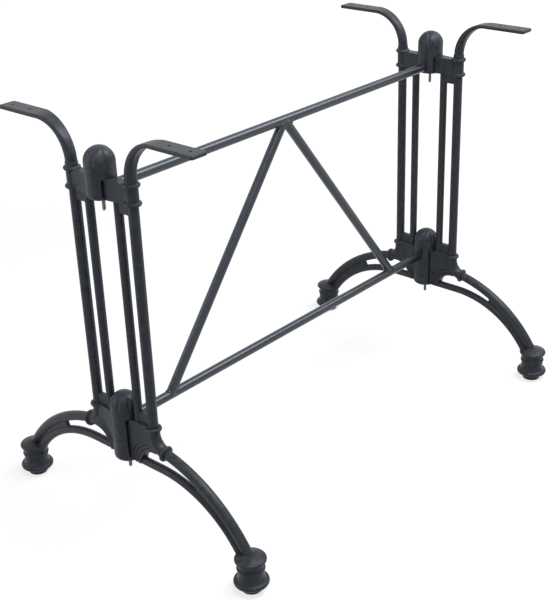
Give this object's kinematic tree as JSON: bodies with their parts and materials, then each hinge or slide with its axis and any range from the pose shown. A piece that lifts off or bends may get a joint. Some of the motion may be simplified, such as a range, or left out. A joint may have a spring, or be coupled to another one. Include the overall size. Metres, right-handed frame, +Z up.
{
  "type": "table frame",
  "caption": "Twin-end bistro table frame: cast side legs with turned feet, clamped by fluted hubs and tied by a welded tube truss, with screw tabs for a top.",
  "frame": {"origin": "on the floor, midway between the two ends and between the front and rear feet", "axes": "+X along the truss from the left end to the right end, +Y to the rear across each end, +Z up"},
  "size_m": [0.929, 0.6008, 0.72],
  "materials": {
    "casting": "satin black powder coat over a fine cast texture",
    "tube": "satin black powder coat",
    "fastener": "dull zinc plating",
    "glide": "matte black nylon"
  },
  "bodies": {
    "root": {"left_rear_leg": "casting", "left_front_leg": "casting", "right_rear_leg": "casting", "right_front_leg": "casting", "left_upper_hub": "casting", "left_lower_hub": "casting", "right_upper_hub": "casting", "right_lower_hub": "casting", "top_bar": "tube", "bottom_bar": "tube", "left_brace": "tube", "right_brace": "tube", "bar_plugs": "fastener", "bar_studs": "fastener", "bar_nuts": "fastener", "upper_clamp_studs": "fastener", "lower_clamp_studs": "fastener", "clamp_washers": "fastener", "clamp_nuts": "fastener", "left_rear_glide": "glide", "left_front_glide": "glide", "right_rear_glide": "glide", "right_front_glide": "glide"}
  },
  "joints": []
}
